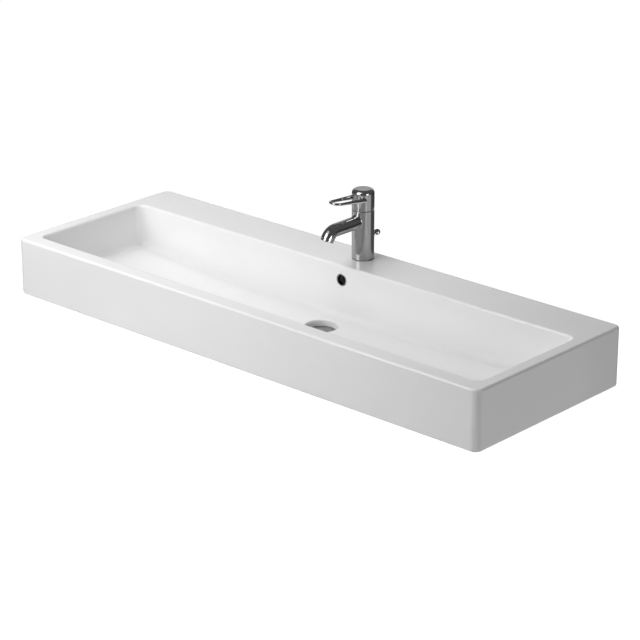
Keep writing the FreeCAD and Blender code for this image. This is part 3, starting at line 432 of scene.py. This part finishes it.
def plugDome():
    s = plugSettings
    middle, size = span("plug_cap")
    radius, height = size[0] / 2 / mm, size[2] / mm
    share = np.linspace(0, 1, s["rows"])
    groove = s["grooveDeep"] * np.exp(-((share - s["grooveAt"]) * radius / s["grooveWide"]) ** 2)
    dome = np.stack([share * (radius - s["rim"]), height / 2 - s["crown"] * share ** 2 - groove], 1)
    shoulder = height / 2 - s["crown"]
    edge = smoothed([(radius - s["rim"], shoulder, 0), (radius, shoulder, s["rim"] * s["rimRound"]),
                     (radius, -height / 2, s["footEdge"]), (0, -height / 2, 0)])
    profile = np.concatenate([dome, edge[1:]]) * mm
    grid = revolve(profile[:, :1], profile[:, 1:], s["sides"])
    addPiece("plugDomeSpun", aimed(grid, middle, (0, 0, 1)), "plug_cap")


# Overflow ring: a thin lip with a rolled edge on a short sleeve. A closed profile of rounded
# corners is carried once round the hole's axis, which runs into the wall.
ringSettings = {"lip": 0.9, "roll": 0.4, "hole": 12.0, "play": 0.05, "wall": 1.1, "edge": 0.1,
                "innerEdge": 0.05, "sides": 96}


def overflowRing():
    s = ringSettings
    low, high = (np.array(c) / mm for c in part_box("overflow_ring"))
    radius, long = (high[2] - low[2]) / 2, high[1] - low[1]
    bore = s["hole"] - s["wall"]
    sleeve = s["hole"] - s["play"]
    corners = [(bore, 0, s["roll"]), (bore, long, s["edge"]), (sleeve, long, s["edge"]),
               (sleeve, s["lip"], s["innerEdge"]), (radius, s["lip"], s["edge"]),
               (radius, 0, s["roll"])]
    profile = smoothed(corners, closed=True) * mm
    middle = np.array(((low[0] + high[0]) / 2, low[1], (low[2] + high[2]) / 2)) * mm
    grid = aimed(revolve(profile[:, :1], profile[:, 1:], s["sides"]), middle, (0, 1, 0))
    addPiece("overflowRingRolled", grid, "overflow_ring", closedRows=True)


# Hexagon nuts: at each height the radius is the smaller of a hexagon's and a chamfer cone's,
# and the bore's radius follows a thread wave.
nutSettings = {
    "mounting_nut": {"name": "mountingNutTurned", "axis": (0, 0, 1), "bore": 4.05,
                     "pitch": 1.25, "deep": 0.5},
    "waste_back_nut": {"name": "wasteBackNutTurned", "axis": (0, 0, 1), "bore": 20.95,
                       "pitch": 2.3, "deep": 0.8},
    "ball_nut": {"name": "ballNutTurned", "axis": (0, 1, 0), "bore": 11.05,
                 "pitch": 1.5, "deep": 0.6},
}
nutShape = {"sides": 144, "wallRows": 24, "rowsPerPitch": 8, "fewestRows": 8,
            "coneFoot": 0.985, "coneSlope": 1.7}


def hexNut(node, s):
    middle, size = span(node)
    tall = (size[2] if s["axis"][2] else size[1]) / mm
    flats = (size[1] if s["axis"][2] else size[2]) / mm / 2
    turn = np.linspace(0, 2 * np.pi, nutShape["sides"], endpoint=False)
    hexagon = flats / np.cos(turn % (np.pi / 3) - np.pi / 6)
    wall = np.linspace(-tall / 2, tall / 2, nutShape["wallRows"])[:, None]
    cone = flats * nutShape["coneFoot"] + (tall / 2 - np.abs(wall)) * nutShape["coneSlope"]
    outer = np.minimum(hexagon, cone)
    boreRows = max(int(tall / s["pitch"] * nutShape["rowsPerPitch"]), nutShape["fewestRows"])
    boreHeight = np.linspace(tall / 2, -tall / 2, boreRows)[:, None]
    inner = s["bore"] - s["deep"] * threadWave(boreHeight, turn, s["pitch"]) + s["deep"]
    radius = np.concatenate([outer, inner])
    height = np.concatenate([wall, boreHeight])
    grid = aimed(revolve(radius, height, nutShape["sides"]) * mm, middle, s["axis"])
    addPiece(s["name"], grid, node, closedRows=True)


# Mounting stud: a screw thread rolled along its whole length, with tapered ends. At each height
# the radius is the smaller of the thread wave's and a cone's that narrows to each end.
studSettings = {"pitch": 1.25, "deep": 0.62, "taper": 1.2, "rowsPerPitch": 8, "sides": 40}


def threadedStud():
    s = studSettings
    middle, size = span("mounting_stud")
    radius, tall = size[0] / 2 / mm, size[2] / mm
    turn = np.linspace(0, 2 * np.pi, s["sides"], endpoint=False)
    height = np.linspace(-tall / 2, tall / 2, int(tall / s["pitch"] * s["rowsPerPitch"]))[:, None]
    crest = radius - s["deep"] * threadWave(height, turn, s["pitch"])
    taper = radius - s["taper"] + (tall / 2 - np.abs(height))
    wall = np.minimum(crest, taper)
    radiusRows = np.concatenate([0 * wall[:1], wall, 0 * wall[-1:]])
    heightRows = np.concatenate([height[:1], height, height[-1:]])
    grid = revolve(radiusRows, heightRows, s["sides"]) * mm
    addPiece("mountingStudRolled", aimed(grid, middle, (0, 0, 1)), "mounting_stud")


# Clamp screw: a thumb screw with a knurled head. A profile of rounded corners goes once round X,
# and on the head's rim a cosine wave of the turn is taken off its radius.
clampSettings = {"shank": 2.0, "shankEdge": 0.3, "neckEdge": 0.1, "headLong": 6.0, "headEdge": 0.6,
                 "knurls": 26, "knurlDeep": 0.45, "knurlBand": 0.3, "sides": 208}


def thumbScrew():
    s = clampSettings
    low, high = (np.array(c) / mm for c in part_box("clamp_screw"))
    radius, long = (high[2] - low[2]) / 2, high[0] - low[0]
    headFoot = long - s["headLong"]
    turn = np.linspace(0, 2 * np.pi, s["sides"], endpoint=False)
    profile = smoothed([(0, 0, 0), (s["shank"], 0, s["shankEdge"]),
                        (s["shank"], headFoot, s["neckEdge"]), (radius, headFoot, s["headEdge"]),
                        (radius, long, s["headEdge"]), (0, long, 0)])
    onRim = np.clip((profile[:, :1] - radius + s["knurlBand"]) / s["knurlBand"], 0, 1)
    ripple = onRim * s["knurlDeep"] * (0.5 + 0.5 * np.cos(s["knurls"] * turn))
    grid = revolve(profile[:, :1] - ripple, profile[:, 1:], s["sides"]) * mm
    middle = np.array((low[0], (low[1] + high[1]) / 2, (low[2] + high[2]) / 2)) * mm
    addPiece("clampScrewKnurled", aimed(grid, middle, (1, 0, 0)), "clamp_screw")


leverLoop()
aeratorRing()
pullKnob()
plugDome()
overflowRing()
for node, settings in nutSettings.items():
    hexNut(node, settings)
threadedStud()
thumbScrew()
print("pieces made:", len(piecesMade))


# Room, lamps and camera

# lengths in metres from here on
roomSettings = {"backdrop": "#ffffff", "dark": "#606060", "pale": "#c6c6c6",
                "paleWay": (-0.67, 0.74, 0.0), "paleFrom": (0.78, 0.93), "ambient": 0.0,
                "floorBelow": 0.785, "floorSide": 40.0, "floorShade": "#e2e2e2",
                "tableMiddle": (0.0, -1.0), "tableEdge": (1.9, 2.3)}


def rayKinds(tree):
    # 1 on a mirror's rays, and 1 on the camera's own, also through clear things
    ray = addNode(tree, "ShaderNodeLightPath")
    clear = addNode(tree, "ShaderNodeMath", {
        0: ray.outputs["Is Camera Ray"], 1: ray.outputs["Is Transmission Ray"]},
        operation="MAXIMUM")
    return ray.outputs["Is Glossy Ray"], clear.outputs["Value"]


def studioWorld():
    # white where the camera and clear rays meet the backdrop;
    # mirrors see a dim room, paler to the back left
    s = roomSettings
    world = bpy.data.worlds.new("studioRoom")
    world.use_nodes = True
    tree = world.node_tree
    tree.nodes.clear()
    glossy, clear = rayKinds(tree)
    way = addNode(tree, "ShaderNodeTexCoord").outputs["Generated"]
    towards = addNode(tree, "ShaderNodeVectorMath", {0: way, 1: s["paleWay"]},
                      operation="DOT_PRODUCT")
    wall = addNode(tree, "ShaderNodeMapRange", {
        "Value": towards.outputs["Value"], "From Min": s["paleFrom"][0],
        "From Max": s["paleFrom"][1]})
    mirror = addNode(tree, "ShaderNodeMix", {
        "Factor": wall.outputs["Result"], 6: linear(s["dark"]), 7: linear(s["pale"])},
        data_type="RGBA")
    dim = addNode(tree, "ShaderNodeMix", {
        "Factor": glossy, 6: (s["ambient"],) * 3 + (1.0,), 7: mirror.outputs[2]},
        data_type="RGBA")
    colour = addNode(tree, "ShaderNodeMix", {
        "Factor": clear, 6: dim.outputs[2], 7: linear(s["backdrop"])}, data_type="RGBA")
    glow = addNode(tree, "ShaderNodeBackground", {"Color": colour.outputs[2], "Strength": 1.0})
    addNode(tree, "ShaderNodeOutputWorld", {"Surface": glow.outputs["Background"]})
    bpy.context.scene.world = world


def studioFloor():
    # a pale floor at standing height: it takes the shadow, and a glow lifts it to white for the
    # camera; mirrors see it white as far as the table reaches, and the dim room beyond
    s = roomSettings
    half = s["floorSide"] / 2
    low = -s["floorBelow"]
    mesh = bpy.data.meshes.new("floor")
    corners = [(-half, -half, low), (half, -half, low), (half, half, low), (-half, half, low)]
    mesh.from_pydata(corners, [], [(0, 1, 2, 3)])
    floor = bpy.data.objects.new("floor", mesh)
    bpy.context.scene.collection.objects.link(floor)
    made, tree, place = newMaterial("paleStudioFloor")
    glossy, clear = rayKinds(tree)
    lit = addNode(tree, "ShaderNodeBsdfDiffuse", {"Color": linear(s["floorShade"])})
    away = addNode(tree, "ShaderNodeVectorMath", {0: place, 1: (*s["tableMiddle"], low)},
                   operation="DISTANCE")
    table = addNode(tree, "ShaderNodeMapRange", {
        "Value": away.outputs["Value"], "From Min": s["tableEdge"][0],
        "From Max": s["tableEdge"][1], "To Min": 1.0, "To Max": 0.0})
    mirrored = addNode(tree, "ShaderNodeMath", {0: table.outputs["Result"], 1: glossy},
                       operation="MULTIPLY")
    seen = addNode(tree, "ShaderNodeMath", {0: clear, 1: mirrored.outputs["Value"]},
                   operation="MAXIMUM")
    glow = addNode(tree, "ShaderNodeEmission", {"Strength": seen.outputs["Value"]})
    both = addNode(tree, "ShaderNodeAddShader", {
        0: lit.outputs["BSDF"], 1: glow.outputs["Emission"]})
    under = addNode(tree, "ShaderNodeBsdfTransparent")
    side = addNode(tree, "ShaderNodeNewGeometry")
    shown = addNode(tree, "ShaderNodeMixShader", {
        0: side.outputs["Backfacing"], 1: both.outputs["Shader"], 2: under.outputs["BSDF"]})
    addNode(tree, "ShaderNodeOutputMaterial", {"Surface": shown.outputs["Shader"]})
    mesh.materials.append(made)


# the two bounce lamps only lift the china: mirrors don't show them
lampSettings = {
    "highSoftbox": {"from": (-0.2, -1.05, 1.4), "to": (-0.05, -0.2, 0.03),
                    "size": (1.2, 1.0), "watts": 3.0},
    "frontSoftbox": {"from": (-0.22, -1.56, 0.92), "to": (0.38, -0.39, 0.03),
                     "size": (1.05, 1.5), "watts": 15.7},
    "frontBounce": {"from": (-1.07, -1.13, 0.92), "to": (-0.47, 0.04, 0.03),
                    "size": (0.85, 1.5), "watts": 13.0, "mirrored": False},
    "backBounce": {"from": (-0.6, 0.3, 1.5), "to": (0.0, -0.2, 0.03),
                   "size": (1.2, 1.2), "watts": 11.4, "mirrored": False},
    "farRight": {"from": (5.0, -0.5, 0.8), "to": (0.0, -0.2, 0.03),
                 "size": (1.6, 1.2), "watts": 54.0},
    "lowRight": {"from": (1.6, 0.35, -0.5), "to": (0.3, -0.2, 0.0),
                 "size": (1.3, 1.0), "watts": 1.5},
}


def addLamp(name, s):
    data = bpy.data.lights.new(name, "AREA")
    data.shape = "RECTANGLE"
    data.size, data.size_y = s["size"]
    data.energy = s["watts"]
    lamp = bpy.data.objects.new(name, data)
    lamp.location = s["from"]
    aim = Vector(s["to"]) - Vector(s["from"])
    lamp.rotation_euler = aim.to_track_quat("-Z", "Y").to_euler()
    lamp.visible_camera = False
    lamp.visible_glossy = s.get("mirrored", True)
    bpy.context.scene.collection.objects.link(lamp)


cameraSettings = {"place": (2.99699, -3.4709, 1.69256), "yawDeg": 42.242, "pitchDeg": 21.144,
                  "lensMm": 136.70, "sensorMm": 36.0, "farEnd": 100.0}


def addCamera():
    # Blender's unturned camera looks straight down, so 90 degrees bring it level
    s = cameraSettings
    data = bpy.data.cameras.new("photoView")
    data.lens = s["lensMm"]
    data.sensor_width = s["sensorMm"]
    data.clip_end = s["farEnd"]
    camera = bpy.data.objects.new("photoView", data)
    camera.location = s["place"]
    camera.rotation_euler = (math.radians(90 - s["pitchDeg"]), 0.0, math.radians(s["yawDeg"]))
    bpy.context.scene.collection.objects.link(camera)
    bpy.context.scene.camera = camera


studioWorld()
studioFloor()
for name, settings in lampSettings.items():
    addLamp(name, settings)
addCamera()
bpy.context.scene.view_settings.view_transform = "Standard"
print("room ready:", len(lampSettings), "lamps")
